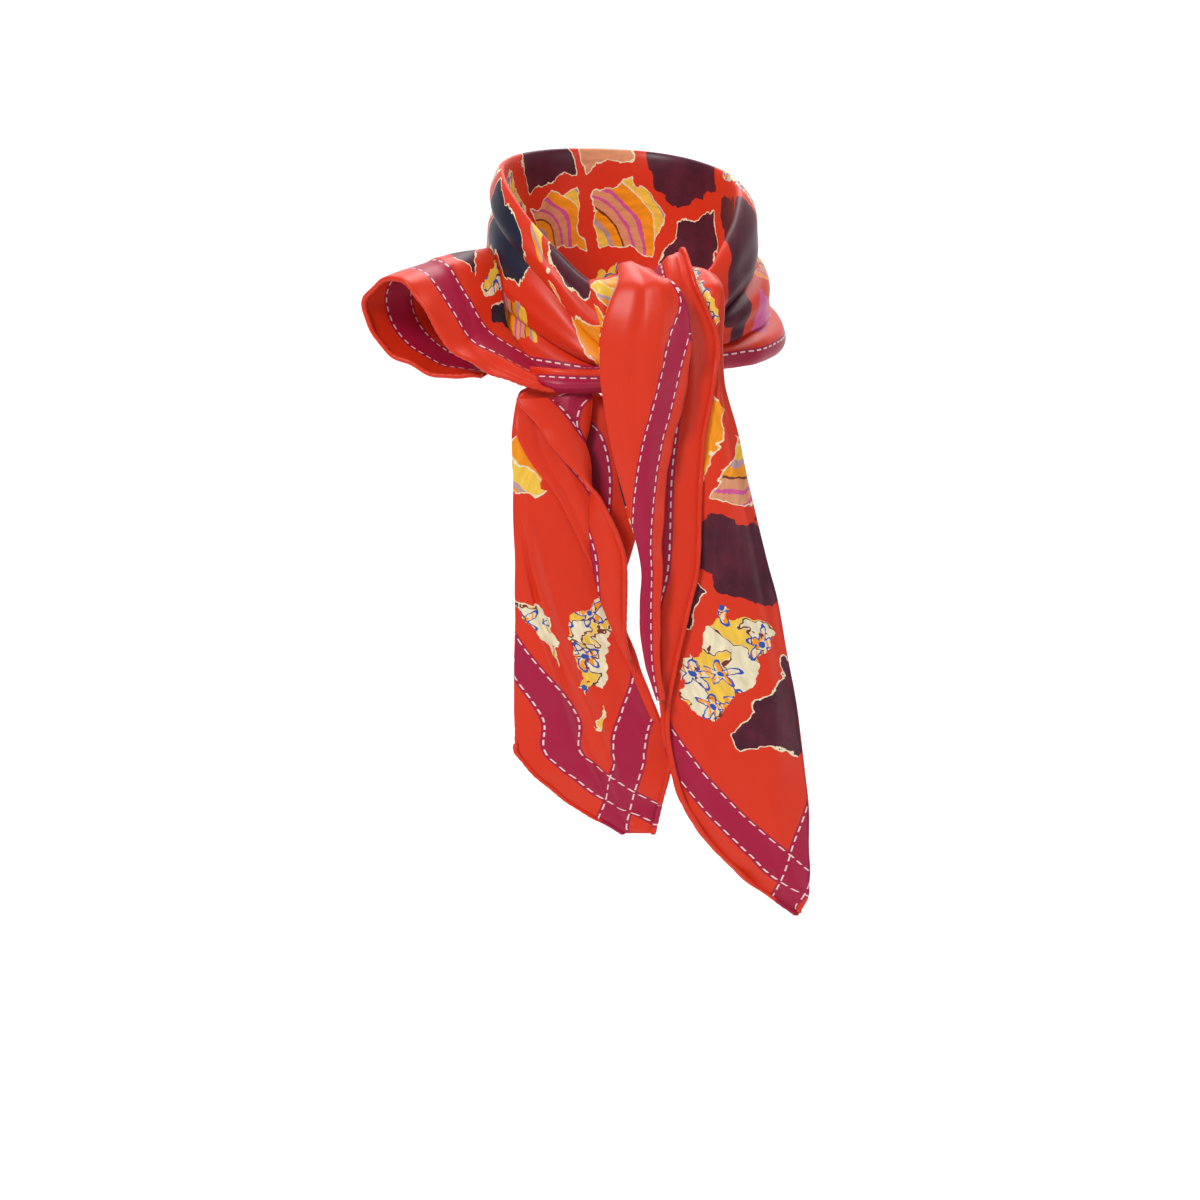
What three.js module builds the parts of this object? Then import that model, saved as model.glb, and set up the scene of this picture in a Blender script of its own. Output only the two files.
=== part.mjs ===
// A silk square, folded on the bias and worn round a neck, with a half knot in front and two hanging corners.
// Millimetres, +Z up. The wearer faces -Y. The origin is the middle of the neck, and the loop goes round it.
// Each stretch of the cloth is one wall: a table gives its sections, and a section function gives the folded
// line of the cloth at one row of the table.
import * as THREE from "three";

// The cloth. Real silk twill is a tenth of a millimetre thick. The wall stands for it and for what is folded
// inside it.
const CLOTH = 1.3;
const ROLLED_HEM = 2.6;
const LAYER = 3.4; // from the middle of one folded layer to the middle of the next
const TAIL_BEND = 2.4; // how far a round fold reaches along its leg
const COVER_BEND = 2;

// The neck that the loop goes round.
const NECK_RADIUS = 54;

const ORANGE = new THREE.Color(0.8, 0.12, 0.05);
const twill = () =>
  new THREE.MeshStandardMaterial({ color: ORANGE, roughness: 0.45, metalness: 0 });

const mix = THREE.MathUtils.lerp;
const radians = THREE.MathUtils.degToRad;

// One row between the rows of a table, at place t from 0 to the last row: a Catmull-Rom curve through each
// column.
function rowAt(table, t) {
  const last = table.length - 1;
  const i = Math.min(Math.floor(t), last - 1);
  const f = t - i;
  const row = {};
  for (const name of Object.keys(table[0])) {
    const here = table[i][name];
    const next = table[i + 1][name];
    const before = i > 0 ? table[i - 1][name] : 2 * here - next;
    const after = i + 2 <= last ? table[i + 2][name] : 2 * next - here;
    const bend = 2 * before - 5 * here + 4 * next - after;
    const twist = 3 * (here - next) + after - before;
    row[name] = here + (f / 2) * (next - before + f * (bend + f * twist));
  }
  return row;
}

// How far an even arch stands up at each part of its span.
const arch = (part) => 4 * part * (1 - part);
const QUARTERS = [0, 0.25, 0.5, 0.75, 1];

// The middle of the cloth as a grid of points: sections along the table, each a smooth line through its key
// points. along is how many steps there are from end to end, and across how many from one key to the next.
function cloth(table, section, { along, across }) {
  const grid = [];
  for (let j = 0; j <= along; j++) {
    const keys = section(rowAt(table, (j / along) * (table.length - 1)));
    const line = new THREE.CatmullRomCurve3(keys, false, "centripetal");
    const count = (keys.length - 1) * across;
    const points = [];
    for (let i = 0; i <= count; i++) points.push(line.getPoint(i / count));
    grid.push(points);
  }
  return grid;
}

// The cloth's direction outwards at each point of the grid.
function normals(grid) {
  const rows = grid.length;
  const count = grid[0].length;
  return grid.map((points, j) =>
    points.map((_, i) => {
      const across = grid[j][Math.min(i + 1, count - 1)].clone().sub(grid[j][Math.max(i - 1, 0)]);
      const along = grid[Math.min(j + 1, rows - 1)][i].clone().sub(grid[Math.max(j - 1, 0)][i]);
      return across.cross(along).normalize();
    }),
  );
}

// A closed wall round the grid. hems says which of the grid's sides, "first" and "last", end in a rolled hem.
function wall(grid, hems) {
  const facing = normals(grid);
  const rows = grid.length;
  const count = grid[0].length;
  const position = [];
  for (const side of [1, -1])
    for (let j = 0; j < rows; j++)
      for (let i = 0; i < count; i++) {
        const rolled = (i === 0 && hems.includes("first")) || (i === count - 1 && hems.includes("last"));
        const half = (rolled ? ROLLED_HEM : CLOTH) / 2;
        const p = grid[j][i].clone().addScaledVector(facing[j][i], side * half);
        position.push(p.x, p.y, p.z);
      }
  const at = (side, j, i) => side * rows * count + j * count + i;
  const index = [];
  const quad = (a, b, c, d) => index.push(a, b, c, a, c, d);
  for (let j = 0; j < rows - 1; j++)
    for (let i = 0; i < count - 1; i++) {
      quad(at(0, j, i), at(0, j, i + 1), at(0, j + 1, i + 1), at(0, j + 1, i));
      quad(at(1, j, i), at(1, j + 1, i), at(1, j + 1, i + 1), at(1, j, i + 1));
    }
  const end = count - 1;
  const foot = rows - 1;
  for (let j = 0; j < foot; j++) {
    quad(at(0, j, 0), at(0, j + 1, 0), at(1, j + 1, 0), at(1, j, 0));
    quad(at(0, j + 1, end), at(0, j, end), at(1, j, end), at(1, j + 1, end));
  }
  for (let i = 0; i < end; i++) {
    quad(at(0, 0, i + 1), at(0, 0, i), at(1, 0, i), at(1, 0, i + 1));
    quad(at(0, foot, i), at(0, foot, i + 1), at(1, foot, i + 1), at(1, foot, i));
  }
  return new THREE.BufferGeometry()
    .setAttribute("position", new THREE.Float32BufferAttribute(position, 3))
    .setIndex(index);
}

// A line folded back and forth, seen from above, as [across, depth] places. Each leg runs straight to a round
// fold and swells forwards at its crest, which is half way along unless it says where.
const FOLD_SHARE = 0.3; // the most of a leg that a round fold takes up
function foldedLine(legs, bend) {
  const line = [];
  legs.forEach(({ from, to, depth, swell = 0, crest = (from + to) / 2 }, k) => {
    const round = Math.min(bend, Math.abs(to - from) * FOLD_SHARE) * Math.sign(to - from);
    line.push([k === 0 ? from : from + round, depth]);
    line.push([crest, depth - swell]);
    line.push([k === legs.length - 1 ? to : to - round, depth]);
    if (k < legs.length - 1) line.push([to, (depth + legs[k + 1].depth) / 2]);
  });
  return line;
}

// Places a folded line at one row of a hanging stretch: across is X, and depth goes in behind the row's own
// place, square to a lean of 0 degrees in front, 90 on top of the knot and 180 inside the loop. bow is how
// far the line falls back at BOW_WIDTH from the middle.
const BOW_WIDTH = 40;
function hang(line, row) {
  const lean = radians(row.lean);
  return line.map(([across, depth]) => {
    const back = row.bow * (across / BOW_WIDTH) ** 2;
    return new THREE.Vector3(across, row.y + back + depth * Math.cos(lean), row.z - depth * Math.sin(lean));
  });
}

// The long corner, from inside the loop, over the knot and down to its tip. hem is the front hem, fold the
// hidden fold that it turns at, side the far side, and back the other hem, behind.
const RIGHT_TAIL = [
  { y: -48, z: 4, lean: 165, bow: 14, hem: 26, fold: 16, side: 36, back: 23, layer: 0.8, swell: 0 },
  { y: -61, z: 17, lean: 80, bow: 7, hem: 29, fold: 16, side: 43, back: 24, layer: 0.8, swell: 0 },
  { y: -77, z: 4, lean: 12, bow: 4, hem: 33.5, fold: 16, side: 46, back: 26, layer: 0.9, swell: 0 },
  { y: -81, z: -10, lean: 0, bow: 3, hem: 39.5, fold: 19, side: 46.5, back: 26, layer: 1, swell: 1 },
  { y: -83, z: -24, lean: 0, bow: 3, hem: 44, fold: 21, side: 46, back: 26, layer: 1, swell: 2 },
  { y: -85, z: -45, lean: 0, bow: 2, hem: 42, fold: 22, side: 48, back: 26, layer: 1, swell: 3 },
  { y: -88, z: -67, lean: 0, bow: 2, hem: 38, fold: 21, side: 54, back: 26, layer: 1, swell: 3 },
  { y: -91, z: -92, lean: 0, bow: 1, hem: 36.5, fold: 17, side: 59, back: 26, layer: 1, swell: 4 },
  { y: -95, z: -125, lean: 0, bow: 1, hem: 35.5, fold: 16, side: 67.5, back: 26, layer: 1, swell: 4 },
  { y: -98, z: -143.5, lean: 0, bow: 1, hem: 31.5, fold: 16, side: 72.5, back: 28, layer: 0.95, swell: 4 },
  { y: -100, z: -170, lean: 0, bow: 0, hem: 25.5, fold: 17, side: 77, back: 33, layer: 0.9, swell: 4 },
  { y: -102, z: -192, lean: 0, bow: 0, hem: 22, fold: 18.5, side: 81, back: 42, layer: 0.8, swell: 3 },
  { y: -105, z: -212.5, lean: 0, bow: 0, hem: 23.5, fold: 21.5, side: 84, back: 52, layer: 0.75, swell: 3 },
  { y: -108, z: -234, lean: 0, bow: 0, hem: 30, fold: 28.5, side: 86.5, back: 64, layer: 0.75, swell: 2 },
  { y: -110, z: -252, lean: 0, bow: 0, hem: 41.5, fold: 40, side: 87, back: 73, layer: 0.75, swell: 2 },
  { y: -112, z: -267.5, lean: 0, bow: 0, hem: 57, fold: 55.5, side: 87.5, back: 79, layer: 0.75, swell: 1 },
  { y: -113, z: -278, lean: 0, bow: 0, hem: 70.5, fold: 69, side: 86.5, back: 82, layer: 0.75, swell: 0 },
  { y: -113, z: -286, lean: 0, bow: 0, hem: 80, fold: 78.5, side: 85, back: 83.5, layer: 0.75, swell: 0 },
];

// A leg that narrows to its hem comes back to the layer that it turns from: the share of a layer that it
// keeps.
const FULL_LEG = 8;
const spread = (from, to) => Math.min(1, Math.abs(to - from) / FULL_LEG);

function rightTailSection(row) {
  const step = LAYER * row.layer;
  const legs = [
    { from: row.hem, to: row.fold, depth: 2 * step - step * spread(row.hem, row.fold) },
    { from: row.fold, to: row.side, depth: 2 * step, swell: row.swell },
    { from: row.side, to: row.back, depth: 3 * step + row.swell / 2 },
  ];
  return hang(foldedLine(legs, TAIL_BEND), row);
}

// The cover over the long corner: the broad panel on the knot, which narrows to the second hem. edge is the
// panel's fold, and under is the fold of the layer that shows beside it at the top.
const RIGHT_COVER = [
  { y: -52, z: 2, lean: 165, bow: 7, root: 7, under: -13, edge: -3, hem: 11, layer: 0.8, swell: 0 },
  { y: -64, z: 11.5, lean: 80, bow: 5, root: 7, under: -14, edge: -1, hem: 12, layer: 0.8, swell: 0 },
  { y: -81, z: 7, lean: 18, bow: 4, root: 8, under: -14, edge: -1, hem: 22, layer: 0.8, swell: 2 },
  { y: -87, z: -4, lean: 4, bow: 4, root: 8, under: -12, edge: -5, hem: 29, layer: 0.9, swell: 3 },
  { y: -90, z: -18, lean: 0, bow: 3, root: 9, under: -8, edge: -9, hem: 31, layer: 0.9, swell: 4 },
  { y: -91, z: -36, lean: 0, bow: 3, root: 9, under: -7, edge: -9, hem: 30.5, layer: 0.9, swell: 4 },
  { y: -92, z: -50, lean: 0, bow: 2, root: 9, under: -4.5, edge: -7, hem: 28, layer: 0.9, swell: 4 },
  { y: -94, z: -73, lean: 0, bow: 2, root: 11, under: -0.5, edge: -3, hem: 22.5, layer: 0.9, swell: 3 },
  { y: -96, z: -92, lean: 0, bow: 2, root: 11, under: 3.5, edge: 1.5, hem: 20, layer: 0.9, swell: 2 },
  { y: -98, z: -113, lean: 0, bow: 1, root: 12, under: 9, edge: 7.5, hem: 18.5, layer: 0.85, swell: 1 },
  { y: -100, z: -127, lean: 0, bow: 1, root: 13, under: 11, edge: 10, hem: 18, layer: 0.8, swell: 0 },
  { y: -102, z: -145, lean: 0, bow: 1, root: 12.5, under: 10, edge: 9, hem: 17.5, layer: 0.75, swell: 0 },
  { y: -103.5, z: -166, lean: 0, bow: 0, root: 14, under: 12, edge: 11, hem: 18, layer: 0.7, swell: 0 },
  { y: -104, z: -180, lean: 0, bow: 0, root: 17, under: 15.5, edge: 15, hem: 20, layer: 0.7, swell: 0 },
];
const UNDER_TUCK = 5; // how far the layer under the panel's fold runs back behind it
const COVER_DEPTH = { root: 2.6, under: 1.8, tuck: 1, panel: 0 }; // in layers, from the front

function coverSection(row) {
  const step = LAYER * row.layer;
  const tuck = Math.min(Math.max(row.edge, row.under) + UNDER_TUCK, (row.edge + row.hem) / 2);
  const legs = [
    { from: row.root, to: row.under, depth: COVER_DEPTH.root * step },
    { from: row.under, to: tuck, depth: COVER_DEPTH.under * step },
    { from: tuck, to: row.edge, depth: COVER_DEPTH.tuck * step },
    { from: row.edge, to: row.hem, depth: COVER_DEPTH.panel * step, swell: row.swell },
  ];
  return hang(foldedLine(legs, COVER_BEND), row);
}

// The short corner, as the long one: hem turns to fold, which turns to the broad face with its crest, its
// side, and back, the other hem, behind.
const LEFT_TAIL = [
  { y: -74, z: -46.5, hem: -42, fold: -22, crest: -38, side: -44, back: -20, layer: 0.8, swell: 0 },
  { y: -78, z: -51, hem: -46, fold: -20, crest: -42, side: -47, back: -8, layer: 0.8, swell: 0 },
  { y: -81, z: -63, hem: -47, fold: -18, crest: -45, side: -49, back: 3, layer: 0.8, swell: 0 },
  { y: -83, z: -71, hem: -44, fold: -16, crest: -46, side: -49, back: 6, layer: 0.8, swell: 0.2 },
  { y: -85, z: -81, hem: -38, fold: -14, crest: -46, side: -49, back: 8, layer: 0.8, swell: 0.4 },
  { y: -87, z: -92, hem: -29, fold: -12, crest: -45, side: -48.5, back: 8.5, layer: 0.8, swell: 0.8 },
  { y: -89, z: -107, hem: -21, fold: -10, crest: -44, side: -48.5, back: 7.5, layer: 0.8, swell: 1.2 },
  { y: -91, z: -125, hem: -12.5, fold: -4, crest: -40.5, side: -48, back: 3, layer: 0.8, swell: 1.6 },
  { y: -93, z: -140, hem: -5, fold: 0, crest: -35, side: -48, back: -3, layer: 0.8, swell: 2 },
  { y: -95, z: -155, hem: -1.5, fold: 3, crest: -30, side: -48, back: -10, layer: 0.8, swell: 2.4 },
  { y: -97, z: -178, hem: 7.5, fold: 11, crest: -21, side: -48.5, back: -23, layer: 0.75, swell: 2.4 },
  { y: -98, z: -195.5, hem: 15, fold: 18, crest: -13.5, side: -48.5, back: -37, layer: 0.75, swell: 2 },
  { y: -100, z: -209, hem: 20, fold: 23, crest: -8, side: -47, back: -45, layer: 0.7, swell: 1.6 },
  { y: -101, z: -217.5, hem: 21.5, fold: 24.5, crest: -5, side: -41, back: -39.5, layer: 0.7, swell: 1.2 },
  { y: -102, z: -225, hem: 20.5, fold: 23.5, crest: -3, side: -34.5, back: -33, layer: 0.7, swell: 1.2 },
  { y: -102, z: -236, hem: 17, fold: 20, crest: 0, side: -24.5, back: -23, layer: 0.7, swell: 0.8 },
  { y: -103, z: -243, hem: 14.5, fold: 17.5, crest: 3, side: -11, back: -9.5, layer: 0.7, swell: 0.4 },
  { y: -103, z: -249.5, hem: 12.5, fold: 15.5, crest: 7, side: 1, back: 2.5, layer: 0.7, swell: 0 },
];

const BACK_GAP = 1; // how much further than a layer the hem behind lies from the broad face

function leftTailSection(row) {
  const step = LAYER * row.layer;
  const legs = [
    { from: row.hem, to: row.fold, depth: step },
    { from: row.fold, to: row.side, depth: 2 * step, swell: row.swell, crest: row.crest },
    { from: row.side, to: row.back, depth: 2 * step + (step + BACK_GAP) * spread(row.side, row.back) },
  ];
  return hang(foldedLine(legs, TAIL_BEND), { ...row, lean: 0, bow: 0 });
}

// The second hem of the short corner, which lies over the first and turns on edge half way down. drop is how
// far the root lies behind the hem, and lift how far the middle of the cloth stands forwards.
const LEFT_RUFFLE = [
  { y: -79.5, z: -49, hem: -46.5, root: -33, drop: 1.5, lift: 0.5 },
  { y: -81.5, z: -54, hem: -43, root: -26, drop: 3, lift: 0.5 },
  { y: -83.5, z: -62, hem: -36, root: -20, drop: 3.5, lift: 0.5 },
  { y: -85.2, z: -69, hem: -31, root: -16, drop: 3.4, lift: 0.5 },
  { y: -87.5, z: -77, hem: -24, root: -13.5, drop: 4, lift: 0.5 },
  { y: -90, z: -85, hem: -15.5, root: -13, drop: 5, lift: 0 },
  { y: -92.5, z: -97, hem: -7, root: -14, drop: 5.5, lift: 0 },
  { y: -94, z: -112, hem: -0.5, root: -14, drop: 5, lift: 0.5 },
  { y: -95, z: -122, hem: 1.8, root: -13, drop: 4.5, lift: 1 },
  { y: -96.5, z: -137, hem: 2, root: -10, drop: 4.5, lift: 1 },
  { y: -98, z: -148, hem: 2, root: -6, drop: 4, lift: 0.5 },
  { y: -98.5, z: -157, hem: 1.5, root: -3, drop: 3, lift: 0 },
];

function ruffleSection(row) {
  return QUARTERS.map((part) => {
    const back = row.drop * part * part - row.lift * arch(part);
    return new THREE.Vector3(mix(row.hem, row.root, part), row.y + back, row.z);
  });
}

// The loop round the neck, one row for each turn from the knot, by the wearer's right, nape and left, back to
// the knot. top, first, second and third are the heights of the upper edge and of each roll's lower edge, gap
// is how far the loop stands off the neck, and reach how far each roll stands out from the one above.
const NECK_LOOP = [
  { turn: 7, gap: 12, top: 2, first: -27, second: -36, third: -42, reach: 1 },
  { turn: 14, gap: 10, top: 4, first: -20, second: -34, third: -42.5, reach: 1.2 },
  { turn: 28, gap: 6, top: 15, first: -5, second: -28, third: -42.5, reach: 1.6 },
  { turn: 45, gap: 3, top: 26, first: 8, second: -20, third: -42, reach: 2 },
  { turn: 68, gap: 1, top: 39, first: 21, second: -12, third: -38, reach: 2.2 },
  { turn: 92, gap: 0, top: 45, first: 28, second: -4, third: -36, reach: 2.6 },
  { turn: 135, gap: 2, top: 46, first: 28, second: 2, third: -36, reach: 4 },
  { turn: 180, gap: 3, top: 44, first: 22, second: -4, third: -38, reach: 5 },
  { turn: 225, gap: 2, top: 40, first: 12, second: -14, third: -40, reach: 6 },
  { turn: 268, gap: 0, top: 33, first: 0, second: -25, third: -40, reach: 6.4 },
  { turn: 294, gap: 1, top: 21, first: -8, second: -27, third: -41, reach: 5.6 },
  { turn: 308, gap: 4, top: 13, first: -13, second: -29, third: -41, reach: 4 },
  { turn: 322, gap: 8, top: 4, first: -18, second: -31, third: -41, reach: 1.6 },
  { turn: 345, gap: 11, top: 0, first: -25, second: -35, third: -41, reach: 0.8 },
];
const ROLL_BASE = 3.5; // from the inner layer out to where the rolls start
const HEM_TURN = 5; // how far the lowest roll is turned up inside
const TURNED_IN = 6; // how far the top roll's cloth goes down inside, to where the plain inner layer starts
const SEAM = 0.3; // the gap between the two

// The plain layer inside the loop, from the bottom up, and the top roll's cloth that meets it and turns out
// over the top: part of the height, how far out, and a last drop.
const INSIDE = [
  { part: 0, out: 0, drop: 0 },
  { part: 0.35, out: 0, drop: 0 },
  { part: 0.7, out: 0, drop: 0 },
  { part: 1, out: 0, drop: TURNED_IN + SEAM },
];
const TOP_TURN = [
  { part: 1, out: 0, drop: TURNED_IN },
  { part: 1, out: 0, drop: TURNED_IN / 2 },
  { part: 1, out: 1.6, drop: 0 },
];

// One roll, from its top down: part of its height, how far in from its widest, and how far up from there.
const ROLL = [
  { part: 0.25, inset: 1.2, rise: 0 },
  { part: 0.6, inset: 0, rise: 0 },
  { part: 1, inset: 0.2, rise: 1.6 },
  { part: 1, inset: 1.2, rise: 0.4 },
];
const UNDER_ROLL = [{ part: 1, inset: 3, rise: -0.4 }];
const NEXT_ROLL = { inset: 3, drop: 2.2 }; // where the next roll starts, in and down from this one's widest
const NEXT_LOWER = 1; // how much lower the heights of a roll start when it hangs from another
const TURNED_UP = [
  { part: 1, inset: 2.4, rise: 1.6 },
  { part: 1, inset: 2.6, rise: HEM_TURN },
];

function aroundNeck(row, radius, z) {
  const turn = radians(row.turn);
  return new THREE.Vector3(-Math.sin(turn) * radius, -Math.cos(turn) * radius, z);
}

function innerLine(row, steps) {
  const bottom = row.third + HEM_TURN;
  const inner = NECK_RADIUS + row.gap;
  return steps.map(({ part, out, drop }) => aroundNeck(row, inner + out, mix(bottom, row.top, part) - drop));
}

const insideSection = (row) => innerLine(row, INSIDE);

const ROLL_NAMES = ["neck_loop_top", "neck_loop_middle", "neck_loop_lower"];
const LOWEST = ROLL_NAMES.length - 1;

// One roll of the loop, counted from 0 at the top: from its start down to its lower edge, and in under it.
function rollSection(row, k) {
  const edges = [row.top, row.first, row.second, row.third];
  const above = edges[k] - (k > 0 ? NEXT_LOWER : 0);
  const edge = edges[k + 1];
  const widest = NECK_RADIUS + row.gap + ROLL_BASE + row.reach * (k + 1);
  const start = aroundNeck(row, widest - row.reach - NEXT_ROLL.inset, edges[k] - NEXT_ROLL.drop);
  const keys = k === 0 ? innerLine(row, TOP_TURN) : [start];
  for (const { part, inset, rise } of [...ROLL, ...(k === LOWEST ? TURNED_UP : UNDER_ROLL)])
    keys.push(aroundNeck(row, widest - inset, mix(above, edge, part) + rise));
  return keys;
}

// The flap on the wearer's right shoulder: a flute that opens forwards. Each row is one line of the cloth,
// from its root on the loop to the hem. belly is how far the middle of the line stands out from a straight
// one.
const SHOULDER_FLAP = [
  { rootX: -33, rootY: -64, rootZ: -40, hemX: -42, hemY: -75, hemZ: -42, belly: 0 },
  { rootX: -43, rootY: -54.5, rootZ: -34, hemX: -58, hemY: -78, hemZ: -36, belly: 1 },
  { rootX: -52, rootY: -44, rootZ: -22, hemX: -75, hemY: -77, hemZ: -27, belly: 1 },
  { rootX: -55.2, rootY: -33.7, rootZ: -4, hemX: -85, hemY: -74, hemZ: -13, belly: 1 },
  { rootX: -57.8, rootY: -27.5, rootZ: 6, hemX: -95, hemY: -69, hemZ: 1, belly: 2 },
  { rootX: -61.1, rootY: -18.7, rootZ: 10, hemX: -105, hemY: -60, hemZ: 3.5, belly: 2 },
  { rootX: -62.6, rootY: -11.8, rootZ: 4, hemX: -114, hemY: -52, hemZ: -2, belly: 3 },
  { rootX: -65.2, rootY: -8.4, rootZ: -8, hemX: -118, hemY: -47, hemZ: -13, belly: 3 },
  { rootX: -65.7, rootY: -6.5, rootZ: -22, hemX: -114, hemY: -46, hemZ: -26, belly: 4 },
  { rootX: -65.7, rootY: -7.3, rootZ: -32, hemX: -104, hemY: -49, hemZ: -36, belly: 4 },
  { rootX: -65.4, rootY: -10.9, rootZ: -40, hemX: -88, hemY: -54, hemZ: -43, belly: 3 },
  { rootX: -63.5, rootY: -19, rootZ: -43, hemX: -76, hemY: -57, hemZ: -44, belly: 2 },
  { rootX: -57, rootY: -31, rootZ: -44.5, hemX: -64, hemY: -60, hemZ: -44, belly: 0 },
];
const FLAP_OUTWARDS = new THREE.Vector3(-0.6, 0.2, 0.7);

function flapSection(row) {
  const root = new THREE.Vector3(row.rootX, row.rootY, row.rootZ);
  const hem = new THREE.Vector3(row.hemX, row.hemY, row.hemZ);
  return QUARTERS.map((part) => {
    const straight = root.clone().lerp(hem, part);
    return straight.addScaledVector(FLAP_OUTWARDS, row.belly * arch(part));
  });
}

// The band across the throat of the knot, one row for each turn of it. waist is the share of its radius that
// it loses half way along.
const KNOT_BAND = { left: -36, right: 12, y: -74.8, z: -42, radius: 7, waist: 0.2 };
const KNOT_TURNS = [{ turn: 80 }, { turn: 40 }, { turn: 0 }, { turn: -60 }];

function knotSection({ turn }) {
  const { left, right, y, z, radius, waist } = KNOT_BAND;
  const angle = radians(turn);
  return QUARTERS.map((part) => {
    const reach = radius * (1 - waist * arch(part));
    const x = mix(left, right, part);
    return new THREE.Vector3(x, y - reach * Math.cos(angle), z + reach * Math.sin(angle));
  });
}

const scarf = new THREE.Group();
scarf.name = "silk_square_scarf";

function add(name, grid, hems) {
  const mesh = new THREE.Mesh(wall(grid, hems), twill());
  mesh.name = name;
  scarf.add(mesh);
}

const LOOP_STEPS = { along: 60, across: 1 };
add("right_tail", cloth(RIGHT_TAIL, rightTailSection, { along: 34, across: 2 }), ["first", "last"]);
add("right_tail_cover", cloth(RIGHT_COVER, coverSection, { along: 26, across: 2 }), ["last"]);
add("left_tail", cloth(LEFT_TAIL, leftTailSection, { along: 30, across: 2 }), ["first", "last"]);
add("left_tail_ruffle", cloth(LEFT_RUFFLE, ruffleSection, { along: 22, across: 2 }), ["first"]);
ROLL_NAMES.forEach((name, k) => {
  const hems = k === LOWEST ? ["last"] : [];
  add(name, cloth(NECK_LOOP, (row) => rollSection(row, k), LOOP_STEPS), hems);
});
add("neck_loop_inside", cloth(NECK_LOOP, insideSection, LOOP_STEPS), []);
add("shoulder_flap", cloth(SHOULDER_FLAP, flapSection, { along: 36, across: 2 }), ["last"]);
add("knot_band", cloth(KNOT_TURNS, knotSection, { along: 8, across: 2 }), []);

export default scarf;
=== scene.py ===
import bpy
import numpy as np
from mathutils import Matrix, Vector


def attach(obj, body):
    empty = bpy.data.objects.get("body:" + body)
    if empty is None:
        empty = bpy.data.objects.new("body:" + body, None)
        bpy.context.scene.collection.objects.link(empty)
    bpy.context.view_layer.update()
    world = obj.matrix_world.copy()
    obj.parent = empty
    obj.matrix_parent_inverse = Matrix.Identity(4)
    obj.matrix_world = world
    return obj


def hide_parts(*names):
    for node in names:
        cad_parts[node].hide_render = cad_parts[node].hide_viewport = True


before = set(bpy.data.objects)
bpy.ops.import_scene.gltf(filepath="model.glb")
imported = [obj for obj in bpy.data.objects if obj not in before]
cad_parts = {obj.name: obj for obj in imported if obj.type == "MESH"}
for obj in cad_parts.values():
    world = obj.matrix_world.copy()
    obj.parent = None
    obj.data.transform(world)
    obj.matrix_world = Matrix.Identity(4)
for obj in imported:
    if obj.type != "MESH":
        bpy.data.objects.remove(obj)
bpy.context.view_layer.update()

# A printed silk square worn round a neck, tied in front with a half knot. Tables are in millimetres and
# meshes in metres. +Z is up and the wearer faces -Y. Each stretch of the cloth is a grid of points: a
# table gives its sections, and a section function gives the folded line of the cloth at each row of the
# table.

MM = 0.001
CLOTH = 0.45  # how thick the twill is drawn
HEM_RADIUS = 1.05  # of the rolled hem
HEM_STITCH = 7.0  # from one hem stitch to the next
LAYER = 3.4  # from one folded layer to the next
TAIL_BEND = 2.4  # how far a round fold reaches along its leg on the two corners
COVER_BEND = 2.0  # and on the cover
FOLD_SHARE = 0.3  # the most of a leg that a round fold takes up
NECK_RADIUS = 54.0  # of the neck that the loop goes round
BOW_WIDTH = 40.0  # how far from the middle a row's bow is measured
PEAK_WIDTH = 7.5  # of the points that stand up along the knot's top
FORWARDS = np.array([0.0, -1.0, 0.0])

# Camera: above the loop's height and far off, aimed at the middle of the photo's view.
CAMERA_PLACE = (0.0, -2.364, 0.417)
CAMERA_AIM = (-0.0094, -0.0276, -0.1565)
CAMERA_LENS = 153.2


def add_camera():
    lens = bpy.data.cameras.new("camera")
    lens.lens = CAMERA_LENS
    lens.clip_end = 20
    camera = bpy.data.objects.new("camera", lens)
    camera.location = CAMERA_PLACE
    towards = Vector(CAMERA_AIM) - Vector(CAMERA_PLACE)
    camera.rotation_euler = towards.to_track_quat("-Z", "Y").to_euler()
    bpy.context.scene.collection.objects.link(camera)
    bpy.context.scene.camera = camera


add_camera()


# Cloth


def table(names, *rows):
    """Named columns from rows of numbers."""
    return dict(zip(names.split(), np.array(rows, float).T))


def row_count(columns):
    return len(next(iter(columns.values())))


def rows_between(columns, steps):
    """A Catmull-Rom curve through each column, read at evenly spaced places from first row to last."""
    count = row_count(columns)
    place = np.linspace(0, count - 1, steps + 1)
    i = np.minimum(place.astype(int), count - 2)
    f = place - i
    row = {}
    for name, c in columns.items():
        c = np.concatenate([[2 * c[0] - c[1]], c, [2 * c[-1] - c[-2]]])
        before, here, following, after = c[i], c[i + 1], c[i + 2], c[i + 3]
        bend = 2 * before - 5 * here + 4 * following - after
        twist = 3 * (here - following) + after - before
        row[name] = here + f / 2 * (following - before + f * (bend + f * twist))
    return row


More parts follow.
